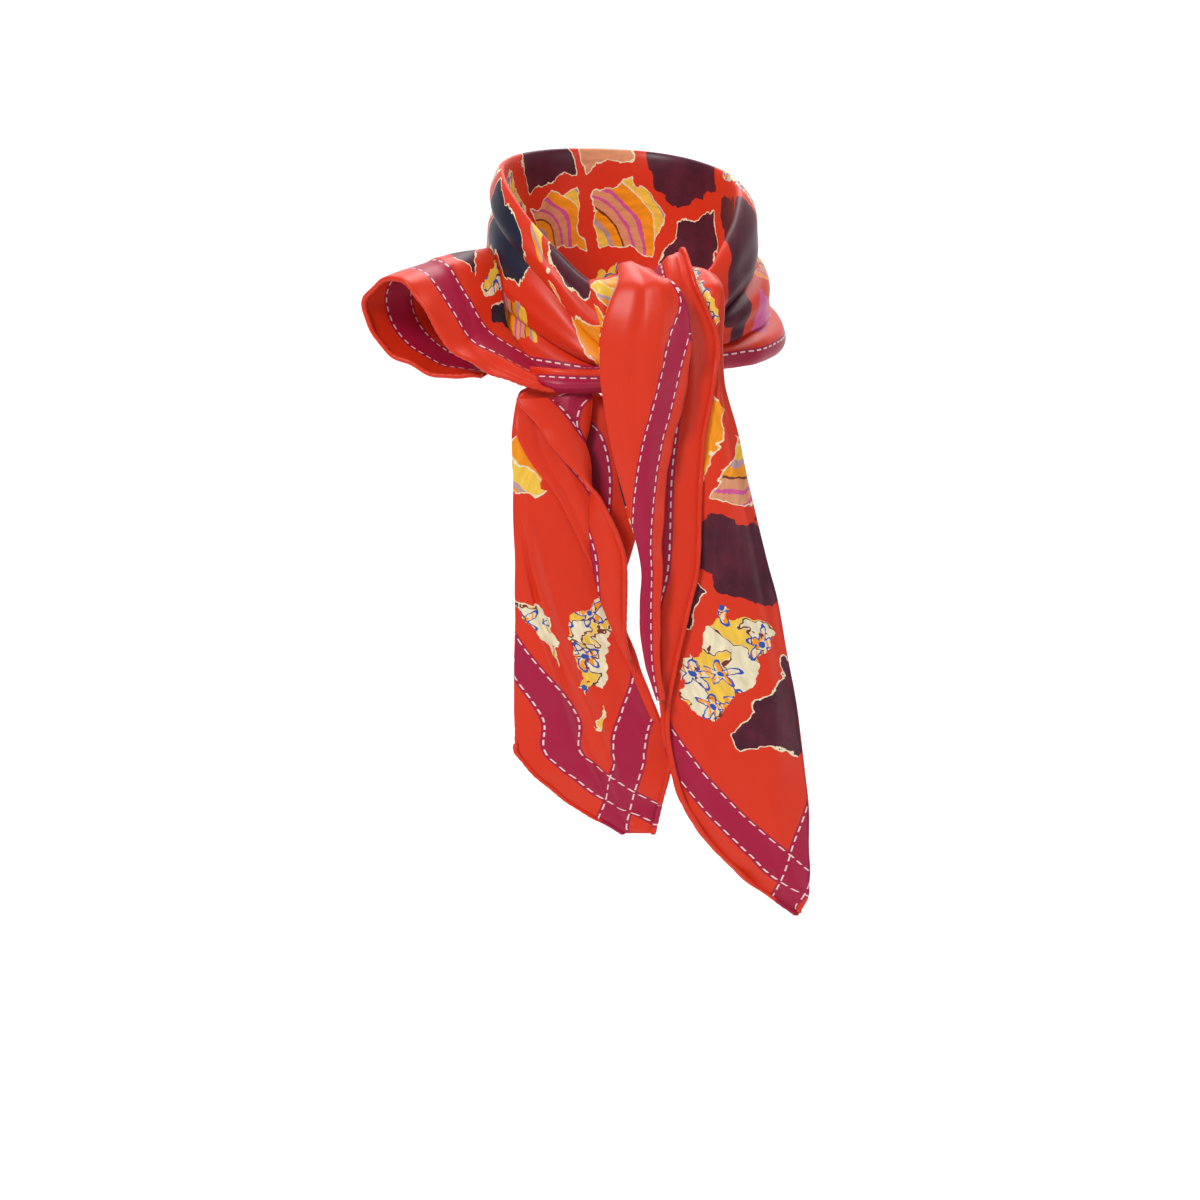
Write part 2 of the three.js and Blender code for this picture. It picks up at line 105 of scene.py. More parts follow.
def through(keys, per):
    """A smooth line through each row of key points: centripetal Catmull-Rom, per steps from key to key."""
    first = 2 * keys[:, :1] - keys[:, 1:2]
    last = 2 * keys[:, -1:] - keys[:, -2:-1]
    k = np.concatenate([first, keys, last], axis=1)
    step = np.sqrt(np.linalg.norm(np.diff(k, axis=1), axis=2))[..., None]
    p0, p1, p2, p3 = k[:, :-3], k[:, 1:-2], k[:, 2:-1], k[:, 3:]
    d0, d1, d2 = step[:, :-2], step[:, 1:-1], step[:, 2:]
    leave = ((p1 - p0) / d0 - (p2 - p0) / (d0 + d1) + (p2 - p1) / d1) * d1
    arrive = ((p2 - p1) / d1 - (p3 - p1) / (d1 + d2) + (p3 - p2) / d2) * d1
    f = (np.arange(per) / per)[None, None, :, None]
    p1, p2, leave, arrive = (a[:, :, None, :] for a in (p1, p2, leave, arrive))
    bend = 3 * (p2 - p1) - 2 * leave - arrive
    line = p1 + f * (leave + f * (bend + f * (2 * (p1 - p2) + leave + arrive)))
    rows, spans = line.shape[:2]
    return np.concatenate([line.reshape(rows, spans * per, 3), keys[:, -1:]], axis=1)


def cloth(columns, section, along, across):
    """The middle of the cloth as points: along steps down the table, across steps from key to key."""
    return through(section(rows_between(columns, along)), across)


def arch(part):
    """How far an even arch stands up at each part of its span."""
    return 4 * part * (1 - part)


def leg(start, end, depth, swell=0.0, crest=None):
    """One leg of a folded line, each value a column: it swells forwards at its crest."""
    return start, end, depth, swell, (start + end) / 2 if crest is None else crest


def folded_line(legs, bend):
    """A folded line seen from above, as across and depth places: straight legs with round folds."""
    across, depth = [], []
    for k, (start, end, deep, swell, crest) in enumerate(legs):
        turn = np.minimum(bend, np.abs(end - start) * FOLD_SHARE) * np.sign(end - start)
        across += [start if k == 0 else start + turn, crest]
        depth += [deep, deep - swell]
        last = k == len(legs) - 1
        across.append(end if last else end - turn)
        depth.append(deep)
        if not last:
            across.append(end)
            depth.append((deep + legs[k + 1][2]) / 2)
    return np.stack(across, axis=1), np.stack(depth, axis=1)


def hang(line, row):
    """Places a folded line at each row: depth goes in behind the row, square to its lean, the sides bow
    back, and the line rises to a point at its peak."""
    across, depth = line
    row = {name: column[:, None] for name, column in row.items()}
    lean = np.radians(row["lean"])
    back = row["bow"] * (across / BOW_WIDTH) ** 2
    rise = row["rise"] * np.exp(-(((across - row["peak"]) / PEAK_WIDTH) ** 2))
    y = row["y"] + back + depth * np.cos(lean)
    z = row["z"] + rise - depth * np.sin(lean)
    return np.stack([across, y, z], axis=2)


TINY = 1e-9  # keeps a division clear of nought


def facing(grid):
    """Which way the cloth faces at each point, square to its line across and its line along."""
    n = np.cross(np.gradient(grid, axis=1), np.gradient(grid, axis=0))
    return n / np.maximum(np.linalg.norm(n, axis=2, keepdims=True), TINY)


def lengths(grid, axis):
    """How far each point lies along the grid's own lines on that axis, in millimetres from their start."""
    step = np.linalg.norm(np.diff(grid, axis=axis), axis=2)
    zero = np.zeros_like(step[:, :1] if axis == 1 else step[:1])
    return np.cumsum(np.concatenate([zero, step], axis=axis), axis=axis)


# The slow ripple that keeps a cloth uneven: its waves across and along the cloth, in millimetres a radian.
BROAD_RIPPLE = (9.1, 31.0)
CROSSED_RIPPLE = (23.0, 17.3)
FINE_RIPPLE = (5.3, 13.7)
WANDER, WANDER_WAVE = 0.3, 13.0  # how far a crease wanders off its line, in its own widths, and its wave


def rippled(s, t, seed):
    broad = np.sin(s / BROAD_RIPPLE[0] + t / BROAD_RIPPLE[1] + seed)
    crossed = np.sin(t / CROSSED_RIPPLE[1] - s / CROSSED_RIPPLE[0] + 2.1 * seed)
    fine = np.sin(s / FINE_RIPPLE[0] - t / FINE_RIPPLE[1] + 1.7 * seed)
    return broad * crossed + 0.5 * fine


def creased(grid, row_total, per, outwards, creases, ripple, seed):
    """Lifts soft ridges and troughs out of the cloth's outer side. Each crease runs from one row and
    key of the table to another, with its width in millimetres and its height at the start, half way and
    at the end. The height falls off as a bell curve across it. per is the steps from key to key, and
    ripple the height of the slow ripple."""
    s, t = lengths(grid, 1), lengths(grid, 0).mean(axis=1, keepdims=True)
    lift = ripple * rippled(s, t, seed)
    j = np.arange(len(grid))
    row = j * (row_total - 1) / j[-1]
    for row0, key0, row1, key1, width, start, middle, end in creases:
        part = np.clip((row - row0) / (row1 - row0), 0, 1)
        here = (row >= row0) & (row <= row1)
        column = np.minimum((key0 + (key1 - key0) * part) * per, s.shape[1] - 1.001)
        i = column.astype(int)
        centre = s[j, i] + (column - i) * (s[j, i + 1] - s[j, i])
        wander = WANDER * np.sin(t / WANDER_WAVE + seed + key0)
        height = (start * (1 - part) + end * part + middle * arch(part)) * here
        lift = lift + height[:, None] * np.exp(-(((s - centre[:, None]) / width + wander) ** 2))
    n = facing(grid)
    side = np.clip(3 * (n * outwards).sum(axis=2), -1, 1)
    return grid + (lift * side)[..., None] * n


FLUTTER_WAVES = (4.3, 2.6)  # along the edge, in millimetres a radian
FLUTTER_REACH = 6.0  # how far in from the edge the flutter dies away


def fluttered(grid, ends, height, seed):
    """Waves the cloth gently beside its free edges: two waves along the edge, which die away from it."""
    slow, quick = FLUTTER_WAVES
    for end in ends:
        s, edge = lengths(grid, 1), grid[:, :1]
        if end == "last":
            s, edge = s[:, -1:] - s, grid[:, -1:]
        run = lengths(edge, 0)
        wave = np.sin(run / slow + seed) + 0.6 * np.sin(run / quick + 2 * seed)
        grid = grid + (height * wave * np.exp(-s / FLUTTER_REACH))[..., None] * facing(grid)
    return grid


CURL = np.radians(np.linspace(36, 324, 9))  # the places round a rolled hem, from the cloth and back to it
STITCH_DIMPLE = 0.16  # the share of the hem's radius that a stitch pulls in
HEM_UNEVEN, UNEVEN_WAVE = 0.06, 5.0


def rolled(grid, end):
    """Curls a free edge into a rolled hem: points of a small circle that starts along the cloth, with a
    dimple at each stitch. Returns the grid with the curl at that end, and how many columns were
    added."""
    if end == "first":
        edge, inside, n = grid[:, 0], grid[:, 1], facing(grid)[:, 0]
    else:
        edge, inside, n = grid[:, -1], grid[:, -2], facing(grid)[:, -1]
    out = edge - inside
    out /= np.linalg.norm(out, axis=1, keepdims=True)
    run = lengths(edge[:, None], 0)[:, 0]
    dimple = STITCH_DIMPLE * np.cos(2 * np.pi * run / HEM_STITCH) ** 8
    radius = HEM_RADIUS * (1 - dimple + HEM_UNEVEN * np.sin(run / UNEVEN_WAVE))
    curl = [edge + radius[:, None] * (np.sin(turn) * out + (1 - np.cos(turn)) * n) for turn in CURL]
    curl = np.stack(curl, axis=1)
    if end == "first":
        return np.concatenate([curl[:, ::-1], grid], axis=1), curl.shape[1]
    return np.concatenate([grid, curl], axis=1), curl.shape[1]


def smooth_rows(values, size=15):
    """A running mean down the rows of each column."""
    total = np.cumsum(np.pad(values, ((size // 2 + 1, size // 2), (0, 0)), mode="edge"), axis=0)
    return (total[size:] - total[:-size]) / size


LEAST_SINE = 0.35  # of the angle at which a line meets its hem


def hem_distance(grid, end):
    """How far each point is from the free edge at that end, square to it: the line's length across,
    eased by the angle at which it meets the edge."""
    s = lengths(grid, 1)
    if end == "last":
        s = s[:, -1:] - s
    edge = grid[:, 0] if end == "first" else grid[:, -1]
    inside = grid[:, 2] if end == "first" else grid[:, -3]
    run = np.gradient(edge, axis=0)
    into = inside - edge
    size = np.linalg.norm(run, axis=1) * np.linalg.norm(into, axis=1) + TINY
    sine = np.linalg.norm(np.cross(run, into), axis=1) / size
    return smooth_rows(s * np.clip(smooth_rows(sine[:, None]), LEAST_SINE, 1))


def tucked(distance, column, tuck):
    """A distance from a hem that takes in the cloth hidden in the fold at one column."""
    return distance + np.where(np.arange(distance.shape[1]) > column, tuck[:, None], 0)


FAR = 400.0  # a free edge that is nowhere near


def add_cloth(name, grid, near, hems, nodes, shift):
    """Builds one stretch of cloth: the grid with its rolled hems, as a closed wall of two faces joined
    all round. Three sets of coordinates go with it: how far each point is from the two hems, how far
    along them, and its place in the flat cloth, which shift moves to a part of the print of its own."""
    along = lengths(grid, 0)
    place = np.stack([lengths(grid, 1), along.mean(axis=1, keepdims=True) + 0 * along], axis=2) + shift
    hem = np.stack([near.get(end, FAR + 0 * along) for end in ("first", "last")], axis=2)
    run = np.stack([along[:, :1] + 0 * along, along[:, -1:] + 0 * along], axis=2)
    maps = {"hem": hem, "run": run, "cloth": place}
    for end in hems:
        grid, added = rolled(grid, end)
        pad = ((0, 0), (added, 0), (0, 0)) if end == "first" else ((0, 0), (0, added), (0, 0))
        maps = {key: np.pad(value, pad, mode="edge") for key, value in maps.items()}
    rows, count = grid.shape[:2]
    n = facing(grid) * (CLOTH / 2)
    points = np.concatenate([(grid + n).reshape(-1, 3), (grid - n).reshape(-1, 3)]) * MM
    front = np.arange(rows * count).reshape(rows, count)
    back = front + rows * count

    def quads(a, b, c, d):
        return np.stack([a, b, c, d], axis=-1).reshape(-1, 4)

    faces = np.concatenate(
        [
            quads(front[:-1, :-1], front[:-1, 1:], front[1:, 1:], front[1:, :-1]),
            quads(back[:-1, :-1], back[1:, :-1], back[1:, 1:], back[:-1, 1:]),
            quads(front[:-1, 0], front[1:, 0], back[1:, 0], back[:-1, 0]),
            quads(front[1:, -1], front[:-1, -1], back[:-1, -1], back[1:, -1]),
            quads(front[0, 1:], front[0, :-1], back[0, :-1], back[0, 1:]),
            quads(front[-1, :-1], front[-1, 1:], back[-1, 1:], back[-1, :-1]),
        ]
    )
    mesh = bpy.data.meshes.new(name)
    mesh.from_pydata(points, [], faces)
    mesh.polygons.foreach_set("use_smooth", np.ones(len(faces), bool))
    for key, value in maps.items():
        both = np.concatenate([value.reshape(-1, 2)] * 2) * MM
        layer = mesh.uv_layers.new(name=key)
        layer.data.foreach_set("uv", both[faces.ravel()].ravel())
    mesh.materials.append(SILK)
    piece = bpy.data.objects.new(name, mesh)
    bpy.context.scene.collection.objects.link(piece)
    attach(piece, "root")
    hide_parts(*nodes)


# Silk


def srgb(red, green, blue):
    """A colour as read by eye, as the linear colour that the shader takes."""
    return *(((c / 255 + 0.055) / 1.055) ** 2.4 for c in (red, green, blue)), 1.0


ORANGE = srgb(222, 52, 22)
MAGENTA = srgb(170, 22, 62)
STITCH = srgb(244, 214, 212)
PLUM = srgb(62, 17, 34)
WINE = srgb(122, 40, 62)
AMBER = srgb(246, 150, 18)
YELLOW = srgb(244, 196, 70)
PEACH = srgb(224, 150, 108)
PINK = srgb(214, 84, 150)
NAVY = srgb(28, 30, 52)
CREAM = srgb(240, 226, 190)
COBALT = srgb(44, 84, 178)
LILAC = srgb(188, 150, 156)
SEPIA = srgb(120, 52, 30)

# The border that follows the hems: a band with a row of running stitch inside each edge, in metres.
BAND_START = 0.0118
BAND_END = 0.0278
DASH_INSET = 0.0013  # from the band's edge to the middle of its stitches
DASH_HALF = 0.00036  # half a stitch's width
DASH_PITCH = 0.0049
DASH_SHARE = 0.6  # the share of the pitch that is stitch

# Where the patches start: a ragged line along each hem, in metres from it, less its share of the cloudy
# noise.
MARGIN = 0.046
MARGIN_RAGGED = 0.02

# The torn patches: how many cells to a metre, how uneven they are, and, in shares of a cell, the gap
# between them before the cloudy noise squared is taken of it, and the pale line round them.
PATCHES = 21.0
PATCH_UNEVEN = 0.9
PATCH_GAP = 0.34
PATCH_LINE = 0.016
LINED_FROM = 0.35  # patches whose third number is lower have no line

# What a patch is painted with: its own number, from 0 to 1, picks the colour from here up to the next.
PLUM_FROM = 0.32
STRIPES_FROM = 0.46
FLOWERS_FROM = 0.78
NAVY_FROM = 0.92
PATCH_COLOURS = [
    (0.0, ORANGE),
    (PLUM_FROM, PLUM),
    (STRIPES_FROM, AMBER),
    (0.58, PEACH),
    (0.7, PINK),
    (FLOWERS_FROM, CREAM),
    (NAVY_FROM, NAVY),
]
STRIPED_FROM = 0.35  # striped patches whose second number is lower stay plain

# The stripes: arcs round a place beside the patch, in metres, with so many sets of them to a metre.
ARC_CENTRE = (0.016, 0.022, 0.0)
ARC_SETS = 30.0
ARC_COLOURS = [
    (0.0, AMBER),
    (0.2, CREAM),
    (0.22, YELLOW),
    (0.4, LILAC),
    (0.48, AMBER),
    (0.6, SEPIA),
    (0.63, PEACH),
    (0.76, PINK),
    (0.81, PEACH),
    (0.93, PINK),
]

# The flowers, in cells to a metre, and in shares of a cell.
FLOWERS = 52.0
FLOWER_UNEVEN = 0.6
PETALS = 5.0
PETAL_REACH, PETAL_SWING = 0.27, 0.13
PETAL_LINE = 0.035  # half of its width
FLOWER_EYE = 0.08

# The noises that tear the edges and vary the paint: waves to a metre, and how far they move the print,
# in metres.
SLOW_WAVES, SLOW_MOVE = 28.0, 0.02
RAGGED_WAVES, RAGGED_MOVE = 420.0, 0.0016
BRUSH_WAVES = (420.0, 90.0, 1.0)
CLOUD_WAVES = 70.0
WASH_FROM = 0.52  # of the cloudy noise: yellow from here, cream below
PETAL_WARM_FROM = 0.5  # of the brush noise: amber from here, cream below
CONTOURS, CONTOUR_LINE = 3.0, 0.035  # lines drawn along the clouds
BRUSH_DARKEST, BRUSH_RANGE = 0.62, 0.76

RIB = 0.0009  # from one rib of the twill to the next, in metres
RIB_STRENGTH, RIB_HEIGHT = 0.06, 0.00005  # how much the ribs shade, and their height in metres
SILK_LOOK = {
    "Roughness": 0.4,
    "Specular IOR Level": 0.34,
    "Sheen Weight": 0.07,
    "Sheen Roughness": 0.35,
    "Sheen Tint": (1.0, 0.72, 0.62, 1.0),
}


class Shader:
    """A short way to write a node tree."""

    def __init__(self, tree):
        self.tree = tree

    def node(self, kind, **settings):
        made = self.tree.nodes.new(kind)
        for key, value in settings.items():
            setattr(made, key, value)
        return made

    def give(self, socket, value):
        if isinstance(value, bpy.types.NodeSocket):
            self.tree.links.new(value, socket)
        else:
            socket.default_value = value

    def math(self, operation, *values):
        made = self.node("ShaderNodeMath", operation=operation)
        for socket, value in zip(made.inputs, values):
            self.give(socket, value)
        return made.outputs[0]

    def between(self, value, low, high):
        """1 where the value lies between the two, 0 elsewhere."""
        above = self.math("GREATER_THAN", value, low)
        below = self.math("LESS_THAN", value, high)
        return self.math("MULTIPLY", above, below)

    def spaced(self, value, middle):
        """How far the value lies from the middle."""
        return self.math("ABSOLUTE", self.math("SUBTRACT", value, middle))

    def vector(self, operation, *values, out="Vector"):
        made = self.node("ShaderNodeVectorMath", operation=operation)
        for socket, value in zip(made.inputs, values):
            self.give(socket, value)
        return made.outputs[out]

    def mix(self, share, first, second):
        made = self.node("ShaderNodeMix", data_type="RGBA")
        self.give(made.inputs[0], share)
        self.give(made.inputs[6], first)
        self.give(made.inputs[7], second)
        return made.outputs[2]

    def ramp(self, value, stops):
        made = self.node("ShaderNodeValToRGB")
        made.color_ramp.interpolation = "CONSTANT"
        elements = made.color_ramp.elements
        while len(elements) < len(stops):
            elements.new(0.5)
        for element, (position, colour) in zip(elements, stops):
            element.position = position
            element.color = colour
        self.give(made.inputs[0], value)
        return made.outputs[0]

    def map(self, name):
        return self.node("ShaderNodeUVMap", uv_map=name).outputs[0]

    def split(self, vector):
        made = self.node("ShaderNodeSeparateXYZ")
        self.give(made.inputs[0], vector)
        return made.outputs[0], made.outputs[1], made.outputs[2]

    def cells(self, vector, scale, feature, randomness):
        made = self.node("ShaderNodeTexVoronoi", voronoi_dimensions="2D", feature=feature)
        self.give(made.inputs["Vector"], vector)
        made.inputs["Scale"].default_value = scale
        made.inputs["Randomness"].default_value = randomness
        return made.outputs

    def noise(self, vector, scale, detail=2.0):
        made = self.node("ShaderNodeTexNoise")
        self.give(made.inputs["Vector"], vector)
        made.inputs["Scale"].default_value = scale
        made.inputs["Detail"].default_value = detail
        return made.outputs


def border(sh, distance, run):
    """Where the band and its two rows of running stitch lie, from one hem's distance and length."""
    dash = sh.math("LESS_THAN", sh.math("FRACT", sh.math("DIVIDE", run, DASH_PITCH)), DASH_SHARE)
    outer = sh.math("LESS_THAN", sh.spaced(distance, BAND_START + DASH_INSET), DASH_HALF)
    inner = sh.math("LESS_THAN", sh.spaced(distance, BAND_END - DASH_INSET), DASH_HALF)
    rows = sh.math("MAXIMUM", outer, inner)
    return sh.between(distance, BAND_START, BAND_END), sh.math("MULTIPLY", rows, dash)


def flowers(sh, place):
    """Small five-petalled flowers drawn in line, one to a cell: the outline mask and the fill mask."""
    cells = sh.cells(place, FLOWERS, "F1", FLOWER_UNEVEN)
    across, along, _ = sh.split(sh.vector("SUBTRACT", place, cells["Position"]))
    across = sh.math("MULTIPLY", across, FLOWERS)
    along = sh.math("MULTIPLY", along, FLOWERS)
    squares = sh.math("ADD", sh.math("MULTIPLY", across, across), sh.math("MULTIPLY", along, along))
    far = sh.math("SQRT", squares)
    swing = sh.math("COSINE", sh.math("MULTIPLY", sh.math("ARCTAN2", along, across), PETALS))
    petal = sh.math("ADD", PETAL_REACH, sh.math("MULTIPLY", PETAL_SWING, swing))
    off = sh.math("SUBTRACT", far, petal)
    line = sh.math("LESS_THAN", sh.math("ABSOLUTE", off), PETAL_LINE)
    eye = sh.math("LESS_THAN", far, FLOWER_EYE)
    return sh.math("MAXIMUM", line, eye), sh.math("LESS_THAN", off, 0.0)


def painted_fill(sh, moved, patches, cloudy, brush):
    """The paint inside the patches: plain, streaked, striped with arcs, or drawn over with flowers."""
    pick, second, _ = sh.split(patches["Color"])
    fill = sh.ramp(pick, PATCH_COLOURS)
    streaks = sh.math("SMOOTH_MIN", sh.math("MULTIPLY", cloudy, cloudy), 0.8, 0.1)
    plum = sh.between(pick, PLUM_FROM, STRIPES_FROM)
    fill = sh.mix(sh.math("MULTIPLY", plum, streaks), fill, WINE)

    offset = sh.vector("ADD", sh.vector("SUBTRACT", moved, patches["Position"]), ARC_CENTRE)
    arc = sh.math("FRACT", sh.math("MULTIPLY", sh.vector("LENGTH", offset, out="Value"), ARC_SETS))
    striped = sh.between(pick, STRIPES_FROM, FLOWERS_FROM)
    striped = sh.math("MULTIPLY", striped, sh.math("GREATER_THAN", second, STRIPED_FROM))
    fill = sh.mix(striped, fill, sh.ramp(arc, ARC_COLOURS))

    flowered = sh.between(pick, FLOWERS_FROM, NAVY_FROM)
    wash = sh.mix(sh.math("GREATER_THAN", cloudy, WASH_FROM), CREAM, YELLOW)
    fill = sh.mix(flowered, fill, wash)
    outline, inside = flowers(sh, moved)
    warm = sh.mix(sh.math("GREATER_THAN", brush, PETAL_WARM_FROM), CREAM, AMBER)
    fill = sh.mix(sh.math("MULTIPLY", inside, flowered), fill, warm)
    contour = sh.spaced(sh.math("FRACT", sh.math("MULTIPLY", cloudy, CONTOURS)), 0.5)
    contour = sh.math("LESS_THAN", contour, CONTOUR_LINE)
    fill = sh.mix(sh.math("MULTIPLY", contour, flowered), fill, SEPIA)
    fill = sh.mix(sh.math("MULTIPLY", outline, flowered), fill, COBALT)

    shade = sh.node("ShaderNodeVectorMath", operation="SCALE")
    sh.give(shade.inputs[0], fill)
    sh.give(shade.inputs["Scale"], sh.math("ADD", BRUSH_DARKEST, sh.math("MULTIPLY", brush, BRUSH_RANGE)))
    return shade.outputs[0]


def print_group():
    """The print: torn patches, most with a thin pale outline, and a stitched band along every hem."""
    tree = bpy.data.node_groups.new("scarf print", "ShaderNodeTree")
    tree.interface.new_socket("Colour", in_out="OUTPUT", socket_type="NodeSocketColor")
    tree.interface.new_socket("Height", in_out="OUTPUT", socket_type="NodeSocketFloat")
    sh = Shader(tree)
    place = sh.map("cloth")
    near_first, near_last, _ = sh.split(sh.map("hem"))
    run_first, run_last, _ = sh.split(sh.map("run"))

    slow = sh.vector("SUBTRACT", sh.noise(place, SLOW_WAVES)["Color"], (0.5,) * 3)
    ragged = sh.vector("SUBTRACT", sh.noise(place, RAGGED_WAVES, 3.0)["Color"], (0.5,) * 3)
    moved = sh.vector("ADD", place, sh.vector("MULTIPLY", slow, (SLOW_MOVE,) * 3))
    moved = sh.vector("ADD", moved, sh.vector("MULTIPLY", ragged, (RAGGED_MOVE,) * 3))
    brush = sh.noise(sh.vector("MULTIPLY", moved, BRUSH_WAVES), 1.0, 4.0)["Fac"]
    cloudy = sh.noise(place, CLOUD_WAVES, 3.0)["Fac"]

    patches = sh.cells(moved, PATCHES, "F1", PATCH_UNEVEN)
    edge = sh.cells(moved, PATCHES, "DISTANCE_TO_EDGE", PATCH_UNEVEN)["Distance"]
    pick, _, third = sh.split(patches["Color"])
    painted = sh.math("GREATER_THAN", pick, PLUM_FROM)
    gap = sh.math("MULTIPLY", sh.math("MULTIPLY", cloudy, cloudy), PATCH_GAP)
    rim = sh.math("ADD", gap, sh.math("MULTIPLY", sh.math("GREATER_THAN", third, LINED_FROM), PATCH_LINE))
    inner = sh.mix(sh.math("MULTIPLY", sh.math("GREATER_THAN", edge, gap), painted), ORANGE, CREAM)
    fill = painted_fill(sh, moved, patches, cloudy, brush)
    inner = sh.mix(sh.math("MULTIPLY", sh.math("GREATER_THAN", edge, rim), painted), inner, fill)

    band_first, dash_first = border(sh, near_first, run_first)
    band_last, dash_last = border(sh, near_last, run_last)
    nearest = sh.math("MINIMUM", near_first, near_last)
    ragged_edge = sh.math("ADD", nearest, sh.math("MULTIPLY", cloudy, MARGIN_RAGGED))
    colour = sh.mix(sh.math("GREATER_THAN", ragged_edge, MARGIN), ORANGE, inner)
    colour = sh.mix(sh.math("MAXIMUM", band_first, band_last), colour, MAGENTA)
    colour = sh.mix(sh.math("MAXIMUM", dash_first, dash_last), colour, STITCH)

    across, along, _ = sh.split(place)
    ribs = sh.math("SINE", sh.math("MULTIPLY", sh.math("ADD", across, along), 2 * np.pi / RIB))
    out = sh.node("NodeGroupOutput")
    sh.give(out.inputs["Colour"], colour)
    sh.give(out.inputs["Height"], ribs)
    return tree


def silk_material():
    """Silk twill: a soft satin sheen over the print, with faint ribs."""
    material = bpy.data.materials.new("silk_twill")
    material.use_nodes = True
    sh = Shader(material.node_tree)
    shader = material.node_tree.nodes["Principled BSDF"]
    design = sh.node("ShaderNodeGroup", node_tree=print_group())
    sh.give(shader.inputs["Base Color"], design.outputs["Colour"])
    for name, value in SILK_LOOK.items():
        shader.inputs[name].default_value = value
    bump = sh.node("ShaderNodeBump")
    bump.inputs["Strength"].default_value = RIB_STRENGTH
    bump.inputs["Distance"].default_value = RIB_HEIGHT
    sh.give(bump.inputs["Height"], design.outputs["Height"])
    sh.give(shader.inputs["Normal"], bump.outputs[0])
    return material


SILK = silk_material()


# The long corner, from inside the loop, over the knot and down to its tip. hem is the front hem, fold
# the hidden fold that it turns at, side the far side, and back the other hem, behind. front is the
# cloth hidden in the fold, and rise how high the cloth stands in a point at peak.
RIGHT_TAIL = table(
    "y z lean bow hem fold side back layer swell front rise peak",
    (-48, 4, 165, 14, 26, 16, 36, 23, 0.8, 0, 18, 3, 27),
    (-61, 10, 80, 7, 29, 16, 43, 24, 0.8, 0, 12, 8, 27),
    (-77, 2, 12, 4, 33.5, 16, 46, 26, 0.9, 0, 5, 3, 27),
    (-81, -10, 0, 3, 39.5, 19, 46.5, 26, 1, 1, 0, 0, 27),
    (-83, -24, 0, 3, 44, 21, 46, 26, 1, 2, 0, 0, 27),
    (-85, -45, 0, 2, 42, 22, 48, 26, 1, 3, 0, 0, 27),
    (-88, -67, 0, 2, 38, 21, 54, 26, 1, 3, 4, 0, 27),
    (-91, -92, 0, 1, 36.5, 17, 59, 26, 1, 4, 0, 0, 27),
    (-95, -125, 0, 1, 35.5, 16, 67.5, 26, 1, 4, 0, 0, 27),
    (-98, -143.5, 0, 1, 31.5, 16, 72.5, 28, 0.95, 4, 7, 0, 27),
    (-100, -170, 0, 0, 25.5, 17, 77, 33, 0.9, 4, 17, 0, 27),
    (-102, -192, 0, 0, 22, 18.5, 81, 42, 0.8, 3, 21, 0, 27),
    (-105, -212.5, 0, 0, 23.5, 21.5, 84, 52, 0.75, 3, 13, 0, 27),
    (-108, -234, 0, 0, 30, 28.5, 86.5, 64, 0.75, 2, 3, 0, 27),
    (-110, -252, 0, 0, 41.5, 40, 87, 73, 0.75, 2, 0, 0, 27),
    (-112, -267.5, 0, 0, 57, 55.5, 87.5, 79, 0.75, 1, 0, 0, 27),
    (-113, -278, 0, 0, 70.5, 69.5, 86.5, 83.5, 0.7, 0, 0, 0, 27),
    (-113, -286, 0, 0, 81.5, 81, 83, 82.5, 0.6, 0, 0, 0, 27),
)
FRONT_FOLD, FAR_SIDE = 3, 7  # the keys of the two folds
SIDE_TUCK = 6  # the cloth hidden in the far side's fold

# Each crease: from row and key, to row and key, width, and height at the start, half way and at the end.
RIGHT_TAIL_CREASES = (
    (0, 1.2, 8, 0.9, 2.2, 1.1, 0.3, 0),
    (0, 0.5, 5, 0.4, 1.8, -0.9, -0.4, 0),
    (1, 5.9, 12, 5.6, 4, 1.3, 0.5, 0),
    (3, 6.3, 15, 5.9, 4, 0, -1.0, 0),
    (9, 4.4, 16, 4.6, 6, 0, 1.3, 0),
    (10, 5.6, 16.5, 5.3, 4, 0, 0.9, 0),
)
FULL_LEG = 8.0  # a leg shorter than this narrows to its hem


def spread(start, end):
    """The share of a layer that a leg keeps as it narrows to its hem, back to the layer it turns from."""
    return np.minimum(1, np.abs(end - start) / FULL_LEG)


def right_tail_section(row):
    step = LAYER * row["layer"]
    legs = [
        leg(row["hem"], row["fold"], 2 * step - step * spread(row["hem"], row["fold"])),
        leg(row["fold"], row["side"], 2 * step, row["swell"], (row["hem"] + row["side"]) / 2),
        leg(row["side"], row["back"], 3 * step + row["swell"] / 2),
    ]
    return hang(folded_line(legs, TAIL_BEND), row)


def add_right_tail():
    along, across = 220, 10
    grid = cloth(RIGHT_TAIL, right_tail_section, along, across)
    grid = creased(grid, row_count(RIGHT_TAIL), across, FORWARDS, RIGHT_TAIL_CREASES, ripple=0.35, seed=1)
    grid = fluttered(grid, ("first", "last"), height=0.35, seed=1)
    front = rows_between(RIGHT_TAIL, along)["front"]
    before_side = np.arange(grid.shape[1]) <= FAR_SIDE * across
    near = {
        "first": tucked(hem_distance(grid, "first"), FRONT_FOLD * across, front),
        "last": hem_distance(grid, "last") + SIDE_TUCK * before_side,
    }
    add_cloth(
        "right_tail_cloth", grid, near, ("first", "last"), ["right_tail"],
        shift=(0, 0),
    )


